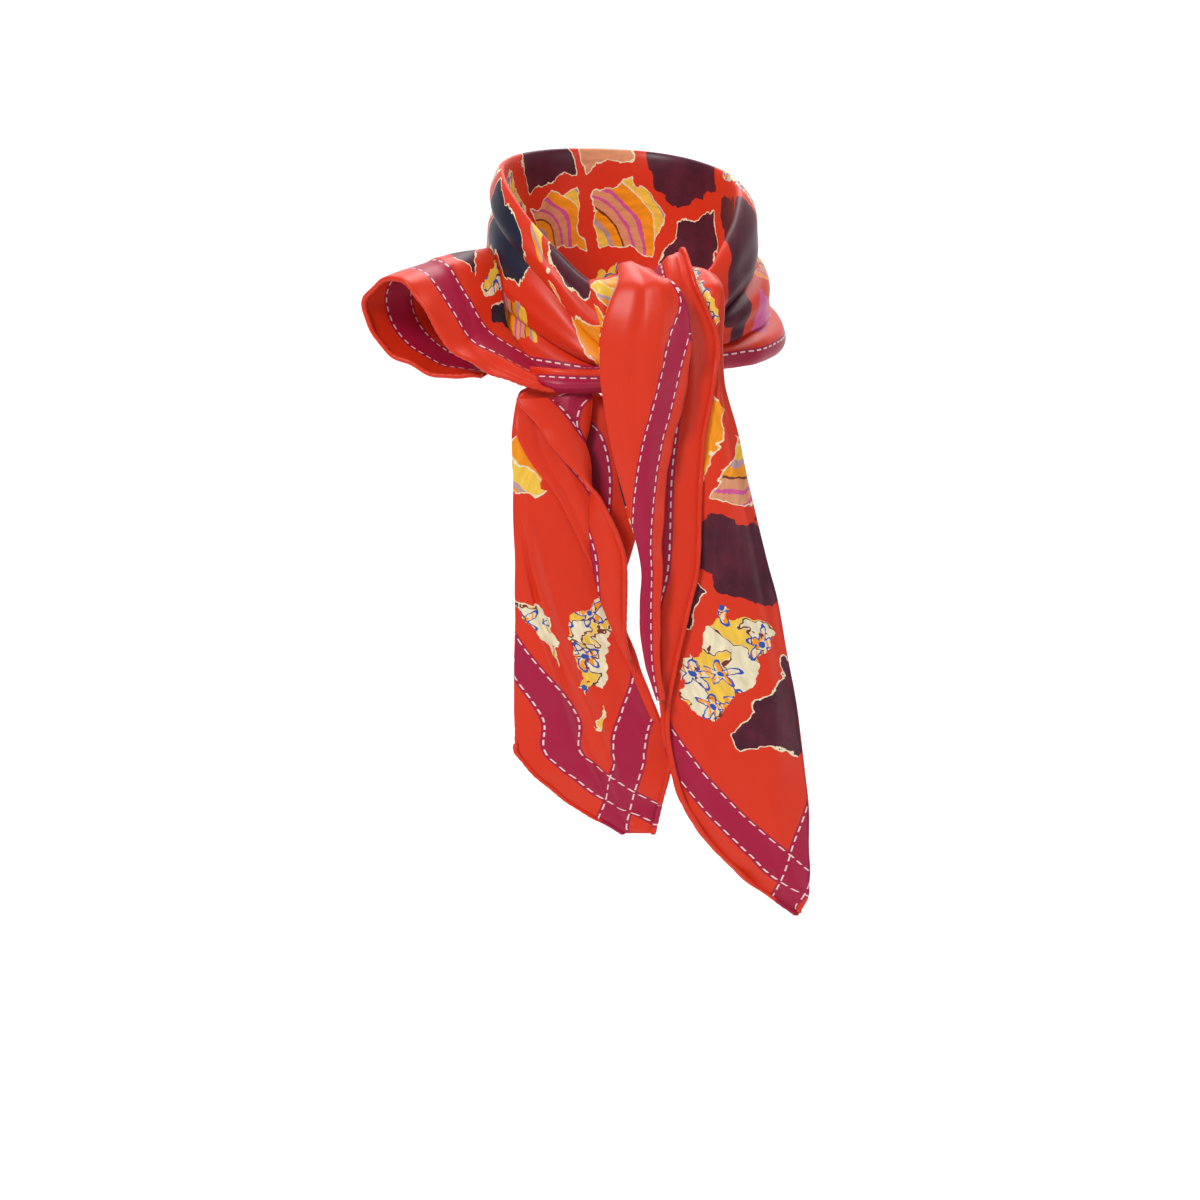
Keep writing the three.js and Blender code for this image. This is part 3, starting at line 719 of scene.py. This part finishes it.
# The cover over the long corner: the broad panel on the knot, which narrows to the second hem. edge is
# the panel's fold, under is the fold of the layer that shows beside it at the top, and start the cloth
# turned in at its hem.
RIGHT_COVER = table(
    "y z lean bow root under edge hem layer swell start rise peak",
    (-52, 2, 165, 7, 7, -13, -3, 11, 0.8, 0, 27, 0, 3),
    (-64, 8, 80, 5, 7, -14, -1, 12, 0.8, 0, 27, 3, 3),
    (-81, 5, 18, 4, 8, -14, -1, 22, 0.8, 2, 27, 1, 3),
    (-87, -4, 4, 4, 8, -12, -5, 29, 0.9, 3, 24, 0, 3),
    (-90, -18, 0, 3, 9, -8, -9, 31, 0.9, 4, 13, 0, 3),
    (-91, -36, 0, 3, 9, -7, -9, 30.5, 0.9, 4, 7, 0, 3),
    (-92, -50, 0, 2, 9, -4.5, -7, 28, 0.9, 4, 5.5, 0, 3),
    (-94, -73, 0, 2, 11, -0.5, -3, 22.5, 0.9, 3, 5.5, 0, 3),
    (-96, -92, 0, 2, 11, 3.5, 1.5, 20, 0.9, 2, 5.5, 0, 3),
    (-98, -113, 0, 1, 12, 9, 7.5, 18.5, 0.85, 1, 6, 0, 3),
    (-100, -127, 0, 1, 13, 11, 10, 18.5, 0.8, 0, 7, 0, 3),
    (-102, -145, 0, 1, 12.5, 10.5, 9, 17.5, 0.7, 0, 8, 0, 3),
    (-103.5, -168, 0, 0, 14, 12, 11.5, 17.5, 0.6, 0, 9, 0, 3),
    (-104, -185, 0, 0, 18.5, 17.6, 17.4, 19.6, 0.5, 0, 10, 0, 3),
)
UNDER_TUCK = 5.0  # how far the layer under the panel's fold runs back behind it
COVER_DEPTH = {"root": 2.6, "under": 1.8, "tuck": 1.0, "panel": 0.0}  # in layers, from the front
PANEL_KEY = 11  # where the panel starts
PANEL_SLANT = 1.5  # how much faster than square its hem's distance grows
PAST_BAND = 29  # a distance past the band and short of the patches
COVER_CREASES = (
    (0, 13.6, 8, 13.2, 2.6, 1.3, 0.5, 0),
    (0, 13.0, 7, 12.7, 2.2, -1.1, -0.4, 0),
    (0, 14.4, 5, 14.3, 2, 0.9, 0.2, 0),
    (2, 12.6, 9, 12.5, 3.5, 0, 0.9, 0),
    (0, 4.5, 6, 4.6, 2.4, 0.9, 0.4, 0),
    (4, 14.2, 11, 14, 2.2, 0, -0.7, 0),
)


def cover_section(row):
    step = LAYER * row["layer"]
    tuck = np.minimum(np.maximum(row["edge"], row["under"]) + UNDER_TUCK, (row["edge"] + row["hem"]) / 2)
    legs = [
        leg(row["root"], row["under"], COVER_DEPTH["root"] * step),
        leg(row["under"], tuck, COVER_DEPTH["under"] * step),
        leg(tuck, row["edge"], COVER_DEPTH["tuck"] * step),
        leg(row["edge"], row["hem"], COVER_DEPTH["panel"] * step, row["swell"]),
    ]
    return hang(folded_line(legs, COVER_BEND), row)


def add_cover():
    along, across = 200, 8
    grid = cloth(RIGHT_COVER, cover_section, along, across)
    grid = creased(grid, row_count(RIGHT_COVER), across, FORWARDS, COVER_CREASES, ripple=0.3, seed=2)
    grid = fluttered(grid, ("last",), height=0.4, seed=2)
    start = rows_between(RIGHT_COVER, along)["start"][:, None]
    from_hem = start + PANEL_SLANT * (lengths(grid, 1)[:, -1:] - lengths(grid, 1))
    panel = np.arange(grid.shape[1]) > PANEL_KEY * across
    near = {"last": np.where(panel, np.minimum(from_hem, PAST_BAND), FAR)}
    add_cloth(
        "cover_cloth", grid, near, ("last",), ["right_tail_cover"],
        shift=(120, 0),
    )


# The short corner, as the long one: hem turns to fold, which turns to the broad face with its crest,
# its side, and back, the other hem, behind. front and behind are the cloth hidden in the two folds.
LEFT_TAIL = table(
    "y z hem fold crest side back layer swell front behind",
    (-78, -44, -34, -13, -30, -35, -12, 0.35, 0, 0, 0),
    (-76, -46.5, -42, -13, -38, -44, -20, 0.5, 0, 0, 0),
    (-78, -51, -46, -13, -42, -47, -8, 0.8, 0, 0, 0),
    (-81, -63, -47, -14, -45, -49, 3, 0.8, 0, 0, 0),
    (-83, -71, -44, -16, -46, -49, 6, 0.8, 0.2, 0, 0),
    (-85, -81, -38, -14, -46, -49, 8, 0.8, 0.4, 0, 0),
    (-87, -92, -29, -12, -45, -48.5, 8.5, 0.8, 0.8, 4, 0),
    (-89, -107, -21, -10, -44, -48.5, 7.5, 0.8, 1.2, 16, 0),
    (-91, -125, -12.5, -4, -40.5, -48, 3, 0.8, 1.6, 21, 0),
    (-93, -140, -5, 0, -35, -48, -3, 0.8, 2, 26, -4),
    (-95, -155, -1.5, 3, -30, -48, -10, 0.8, 2.4, 24, -6),
    (-97, -178, 7.5, 11, -21, -48.5, -23, 0.75, 2.4, 17, -9.5),
    (-98, -195.5, 15, 18, -13.5, -48.5, -37, 0.75, 2, 7, -7),
    (-100, -209, 23.5, 23, -8, -47.6, -48, 0.7, 1.6, 0, 0),
    (-101, -217.5, 23, 22.4, -5, -43, -43.6, 0.7, 1.2, 0, 0),
    (-102, -225, 21.6, 21, -3, -35.5, -36.1, 0.7, 1.2, 0, 0),
    (-102, -236, 18.6, 18, 0, -22.5, -23.1, 0.7, 0.8, 0, 0),
    (-103, -243, 17, 16.4, 3, -11, -11.6, 0.7, 0.4, 0, 0),
    (-103, -250, 15.5, 14.9, 7, 2, 1.4, 0.7, 0, 0, 0),
)
BACK_GAP = 1  # how much further than a layer the hem behind lies from the broad face
LEAST_BACK = 0.3  # the least share of that depth that it keeps
LEFT_TAIL_CREASES = (
    (1, 1.4, 8, 1.2, 2.4, 0.8, 0.4, 0),
    (2, 0.5, 9, 0.5, 2.0, 0, -0.6, 0),
    (3, 5.0, 17.8, 4.97, 2.4, 0.4, 1.9, 0.5),
    (4, 5.36, 17.6, 5.1, 2.0, -0.4, -2.2, -0.6),
    (7, 4.6, 17, 4.2, 5, 0, -1.0, 0),
)


def left_tail_section(row):
    step = LAYER * row["layer"]
    behind = np.maximum(LEAST_BACK, spread(row["side"], row["back"]))
    legs = [
        leg(row["hem"], row["fold"], 2 * step - step * spread(row["hem"], row["fold"])),
        leg(row["fold"], row["side"], 2 * step, row["swell"], row["crest"]),
        leg(row["side"], row["back"], 2 * step + (step + BACK_GAP) * behind),
    ]
    straight = {**row, **dict.fromkeys(("lean", "bow", "rise", "peak"), 0 * row["y"])}
    return hang(folded_line(legs, TAIL_BEND), straight)


def add_left_tail():
    along, across = 200, 18
    grid = cloth(LEFT_TAIL, left_tail_section, along, across)
    grid = creased(grid, row_count(LEFT_TAIL), across, FORWARDS, LEFT_TAIL_CREASES, ripple=0.35, seed=3)
    grid = fluttered(grid, ("first", "last"), height=0.35, seed=3)
    rows = rows_between(LEFT_TAIL, along)
    fold = FRONT_FOLD * across
    near = {
        "first": tucked(hem_distance(grid, "first"), fold, rows["front"]),
        "last": tucked(hem_distance(grid, "last")[:, ::-1], fold, rows["behind"])[:, ::-1],
    }
    add_cloth(
        "left_tail_cloth", grid, near, ("first", "last"), ["left_tail"],
        shift=(260, 40),
    )


QUARTERS = np.linspace(0, 1, 5)[None, :]

# The second hem of the short corner, which lies over the first and turns on edge half way down. drop is
# how far the root lies behind the hem, and lift how far the middle of the cloth stands forwards.
LEFT_RUFFLE = table(
    "y z hem root drop lift",
    (-79.5, -49, -46.5, -33, 1.5, 0.5),
    (-81.5, -54, -43, -26, 3, 0.5),
    (-83.5, -62, -36, -20, 3.5, 0.5),
    (-85.2, -69, -31, -16, 3.4, 0.5),
    (-87.5, -77, -24, -13.5, 4, 0.5),
    (-90, -85, -15.5, -13, 5, 0),
    (-92.5, -97, -7, -14, 5.5, 0),
    (-94, -112, -0.5, -14, 5, 0.5),
    (-95, -122, 1.8, -13, 4.5, 1),
    (-96.5, -137, 2, -10, 4.5, 1),
    (-98, -148, 2, -6, 4, 0.5),
    (-98.5, -157, 2.2, -2, 2.5, 0),
    (-98.5, -167, 4, 2.4, 1.2, 0),
)


def ruffle_section(row):
    row = {name: column[:, None] for name, column in row.items()}
    back = row["drop"] * QUARTERS**2 - row["lift"] * arch(QUARTERS)
    across = row["hem"] + (row["root"] - row["hem"]) * QUARTERS
    return np.stack([across, row["y"] + back, row["z"] + 0 * back], axis=2)


def add_ruffle():
    along, across = 150, 8
    grid = cloth(LEFT_RUFFLE, ruffle_section, along, across)
    grid = creased(grid, row_count(LEFT_RUFFLE), across, FORWARDS, (), ripple=0.2, seed=4)
    grid = fluttered(grid, ("first",), height=0.4, seed=4)
    near = {"first": hem_distance(grid, "first")}
    add_cloth(
        "ruffle_cloth", grid, near, ("first",), ["left_tail_ruffle"],
        shift=(400, 10),
    )


# The loop round the neck, one row for each turn from the knot, by the wearer's right, nape and left,
# back to the knot. top, first, second and third are the heights of the upper edge and of each roll's
# lower edge, gap is how far the loop stands off the neck, and reach how far each roll stands out from
# the one above.
NECK_LOOP = table(
    "turn gap top first second third reach",
    (7, 12, 2, -27, -36, -42, 1),
    (14, 10, 4, -20, -34, -42.5, 1.2),
    (28, 6, 15, -5, -28, -42.5, 1.6),
    (45, 3, 26, 8, -20, -42, 2),
    (68, 1, 39, 21, -12, -38, 2.2),
    (92, 0, 45, 28, -4, -36, 2.6),
    (135, 2, 46, 28, 2, -36, 4),
    (180, 3, 44, 22, -4, -38, 5),
    (225, 2, 40, 12, -14, -40, 6),
    (268, 0, 33, 0, -25, -40, 6.4),
    (294, 1, 21, -8, -27, -41, 5.6),
    (308, 4, 13, -13, -29, -41, 4),
    (322, 8, 4, -18, -31, -41, 1.6),
    (345, 11, 0, -25, -35, -41, 0.8),
)
ROLL_BASE = 3.5  # from the inner layer out to where the rolls start
ROLL_CLEAR = 0.9  # the least room between the inner layer and a roll
HEM_TURN = 5.0  # how far the lowest roll is turned up inside
NEXT_LOWER = 1  # how much lower than a roll's edge the next one's heights start
TURNED_UP_CLOTH = 14  # from the lowest roll's hem to where the cloth shows

# The plain layer inside the loop, one roll from its top down, the fold under a roll and the last
# turn-up. Each row is a part of the height, how far out it is or how far in from the widest, and how
# far up from there.
INSIDE = ((0, 0, 0), (0.35, 0, 0), (0.7, 0, 0), (1, 0, -3), (1, 1.6, 0))
ROLL = ((0.25, 1.2, 0), (0.6, 0, 0), (1, 0.2, 1.6), (1, 1.2, 0.2))
UNDER_ROLL = ((1, 2.6, 0.8), (1, 3.4, 2.4), (1, 4.2, 0.4))
TURNED_UP = ((1, 2.4, 1.6), (1, 2.6, HEM_TURN))
LOOP_CREASES = (
    (0, 6.2, 4, 5.8, 2.6, 1.2, 0.5, 0),
    (0, 5.6, 3, 5.4, 2.2, -0.8, -0.4, 0),
    (0, 13.4, 5, 13.1, 2.4, 1.0, 0.4, 0),
    (0, 20.4, 5, 20.2, 2.2, 0.9, 0.4, 0),
    (2, 6.4, 7, 6.2, 4, 0, 0.9, 0),
    (5, 13.2, 9, 13.4, 4, 0, -0.9, 0),
    (6, 20.2, 11, 20, 4, 0, 1.0, 0),
    (9, 6.2, 13, 6.6, 3, 0, 0.8, 1.1),
    (8, 13.0, 13, 13.6, 3, 0, -0.7, -0.9),
    (6, 5.6, 10, 6.6, 5, 0, 0.8, 0),
)


def loop_section(row):
    turn = np.radians(row["turn"])
    inner = NECK_RADIUS + row["gap"]

    def place(radius, z):
        radius = np.maximum(radius, inner)
        return np.stack([-np.sin(turn) * radius, -np.cos(turn) * radius, z], axis=1)

    bottom = row["third"] + HEM_TURN
    keys = [place(inner + out, bottom + (row["top"] - bottom) * part + rise) for part, out, rise in INSIDE]
    above = row["top"]
    for k, name in enumerate(("first", "second", "third")):
        edge = row[name]
        widest = inner + ROLL_BASE + row["reach"] * (k + 1)
        for part, inset, rise in ROLL + (TURNED_UP if name == "third" else UNDER_ROLL):
            radius = np.maximum(widest - inset, inner + ROLL_CLEAR)
            keys.append(place(radius, above + (edge - above) * part + rise))
        above = edge - NEXT_LOWER
    return np.stack(keys, axis=1)


def add_loop():
    along, across = 420, 4
    grid = cloth(NECK_LOOP, loop_section, along, across)
    radial = grid * np.array([1.0, 1.0, 0.0]) / NECK_RADIUS
    grid = creased(grid, row_count(NECK_LOOP), across, radial, LOOP_CREASES, ripple=0.3, seed=5)
    near = {"last": hem_distance(grid, "last") + TURNED_UP_CLOTH}
    nodes = ["neck_loop_top", "neck_loop_middle", "neck_loop_lower", "neck_loop_inside"]
    add_cloth(
        "loop_cloth", grid, near, ("last",), nodes,
        shift=(1130, 60),
    )


# The flap on the wearer's right shoulder: a flute that opens forwards. Each row is one line of the
# cloth, from its root on the loop to the hem. belly is how far the middle of the line stands out from a
# straight one.
SHOULDER_FLAP = table(
    "rootX rootY rootZ hemX hemY hemZ belly",
    (-24, -70, -42, -24, -75, -43.5, 0),
    (-34, -64, -40, -40, -80, -42.5, 0),
    (-43, -54.5, -34, -58, -78, -36, 1),
    (-52, -44, -22, -75, -77, -27, 1),
    (-55.2, -33.7, -4, -85, -74, -13, 1),
    (-57.8, -27.5, 6, -95, -69, 1, 2),
    (-61.1, -18.7, 10, -105, -60, 3.5, 2),
    (-62.6, -11.8, 4, -114, -52, -2, 3),
    (-65.2, -8.4, -8, -118, -47, -13, 3),
    (-65.7, -6.5, -22, -114, -46, -26, 4),
    (-65.7, -7.3, -32, -104, -49, -36, 4),
    (-65.4, -10.9, -40, -88, -54, -43, 3),
    (-63.5, -19, -43, -76, -57, -44, 2),
    (-57, -31, -44.5, -64, -60, -44, 0),
)
FLAP_OUTWARDS = np.array([-0.6, 0.2, 0.7])
FLAP_CREASES = (
    (0, 2.4, 7, 2.0, 3, 0.8, 1.1, 0),
    (0, 3.2, 5, 3.0, 2.5, -0.6, -0.7, 0),
    (6, 2.2, 10, 2.6, 4, 0, -0.9, 0),
    (8, 1.2, 13, 2.2, 3, 0, 1.0, 0.5),
)


def flap_section(row):
    root = np.stack([row["rootX"], row["rootY"], row["rootZ"]], axis=1)[:, None]
    hem = np.stack([row["hemX"], row["hemY"], row["hemZ"]], axis=1)[:, None]
    part = QUARTERS[..., None]
    return root + (hem - root) * part + FLAP_OUTWARDS * row["belly"][:, None, None] * arch(part)


def add_flap():
    along, across = 260, 12
    grid = cloth(SHOULDER_FLAP, flap_section, along, across)
    grid = creased(grid, row_count(SHOULDER_FLAP), across, FLAP_OUTWARDS, FLAP_CREASES, ripple=0.35, seed=6)
    grid = fluttered(grid, ("last",), height=0.6, seed=6)
    near = {"last": hem_distance(grid, "last")}
    add_cloth(
        "flap_cloth", grid, near, ("last",), ["shoulder_flap"],
        shift=(760, 0),
    )


# The band across the throat of the knot, one row for each turn of it. The left end narrows and runs
# back under the flap. The creases run along the band: they are laid with rows and keys changed over.
KNOT_LEFT, KNOT_RIGHT = -41.0, 12.0
KNOT_Y, KNOT_Z = -74.8, -42.0
KNOT_RADIUS = 7.0
KNOT_WAIST = 0.2  # the share of the radius lost half way along
KNOT_TURNS = table("turn", (80,), (40,), (0,), (-60,))
KNOT_KEYS = 9
TUCKED_END = 0.35  # the share of the band that narrows and runs back under the flap
TUCKED_BACK, TUCKED_UP, TUCKED_THIN = 7, 1.5, 0.5
KNOT_HEM = 7  # from the band's edge to its hem, inside the knot
KNOT_CREASES = (
    (0, 0.6, 8, 0.8, 1.6, 0.9, 0.3, 0.6),
    (0, 1.4, 8, 1.2, 1.5, -0.8, -0.3, -0.5),
    (0, 2.2, 8, 2.0, 1.6, 0.8, 0, 0.6),
)


def knot_section(row):
    angle = np.radians(row["turn"])[:, None]
    parts = np.linspace(0, 1, KNOT_KEYS)[None, :]
    narrow = (1 - np.minimum(parts / TUCKED_END, 1)) ** 2
    reach = KNOT_RADIUS * (1 - KNOT_WAIST * arch(parts)) * (1 - TUCKED_THIN * narrow)
    across = KNOT_LEFT + (KNOT_RIGHT - KNOT_LEFT) * parts + 0 * angle
    y = KNOT_Y + TUCKED_BACK * narrow - reach * np.cos(angle)
    z = KNOT_Z + TUCKED_UP * narrow + reach * np.sin(angle)
    return np.stack([across, y, z], axis=2)


def add_knot():
    along, across = 60, 8
    per = along // (row_count(KNOT_TURNS) - 1)
    grid = cloth(KNOT_TURNS, knot_section, along, across).transpose(1, 0, 2)
    grid = creased(grid, KNOT_KEYS, per, FORWARDS, KNOT_CREASES, ripple=0.2, seed=7)[:, ::-1]
    near = {"last": KNOT_HEM + lengths(grid, 1)[:, -1:] - lengths(grid, 1)}
    add_cloth(
        "knot_cloth", grid, near, (), ["knot_band"],
        shift=(900, 0),
    )


add_right_tail()
add_cover()
add_left_tail()
add_ruffle()
add_loop()
add_flap()
add_knot()


# Studio: the place, size and power of each lamp, in metres and watts, and what it is aimed at.
FLOOR_Z, WALL_Y = -0.75, 2.2
STAGE_REACH, CORNER_RADIUS, CORNER_POINTS = 6.0, 1.2, 24
PAPER, PAPER_ROUGHNESS = (0.93, 0.93, 0.94, 1), 0.9
KNOT_AIM, WALL_AIM = (0, -0.05, -0.1), (0, WALL_Y, -0.3)
LAMPS = {
    "key": ((-1.2, -1.8, 1.7), 0.7, 44, KNOT_AIM),
    "fill": ((1.9, -1.6, 0.4), 1.4, 10, KNOT_AIM),
    "back": ((0.5, 1.3, 1.5), 1.2, 18, KNOT_AIM),
    "backdrop": ((0, 0.9, 1.9), 1.6, 26, WALL_AIM),
}
SKY, SKY_STRENGTH = (0.95, 0.97, 1.0, 1), 0.29


def add_stage():
    """A pale floor that turns up into a wall behind: one sheet along a rounded corner."""
    reach, radius = STAGE_REACH, CORNER_RADIUS
    turn = np.linspace(0, np.pi / 2, CORNER_POINTS)
    y = np.concatenate([[-reach], WALL_Y - radius + radius * np.sin(turn), [WALL_Y]])
    z = np.concatenate([[FLOOR_Z], FLOOR_Z + radius - radius * np.cos(turn), [reach]])
    points = [(x, float(a), float(b)) for x in (-reach, reach) for a, b in zip(y, z)]
    n = len(y)
    faces = [(i, n + i, n + i + 1, i + 1) for i in range(n - 1)]
    mesh = bpy.data.meshes.new("backdrop")
    mesh.from_pydata(points, [], faces)
    mesh.polygons.foreach_set("use_smooth", np.ones(len(faces), bool))
    paper = bpy.data.materials.new("backdrop paper")
    paper.use_nodes = True
    shader = paper.node_tree.nodes["Principled BSDF"]
    shader.inputs["Base Color"].default_value = PAPER
    shader.inputs["Roughness"].default_value = PAPER_ROUGHNESS
    mesh.materials.append(paper)
    floor = bpy.data.objects.new("backdrop", mesh)
    bpy.context.scene.collection.objects.link(floor)


def add_light(name, place, size, power, aim):
    lamp = bpy.data.lights.new(name, "AREA")
    lamp.size = size
    lamp.energy = power
    made = bpy.data.objects.new(name, lamp)
    made.location = place
    made.rotation_euler = (Vector(aim) - Vector(place)).to_track_quat("-Z", "Y").to_euler()
    bpy.context.scene.collection.objects.link(made)


def add_sky():
    world = bpy.data.worlds.new("studio")
    world.use_nodes = True
    background = world.node_tree.nodes["Background"]
    background.inputs["Color"].default_value = SKY
    background.inputs["Strength"].default_value = SKY_STRENGTH
    bpy.context.scene.world = world


add_stage()
for name, lamp in LAMPS.items():
    add_light(name, *lamp)
add_sky()
bpy.context.scene.view_settings.view_transform = "Standard"
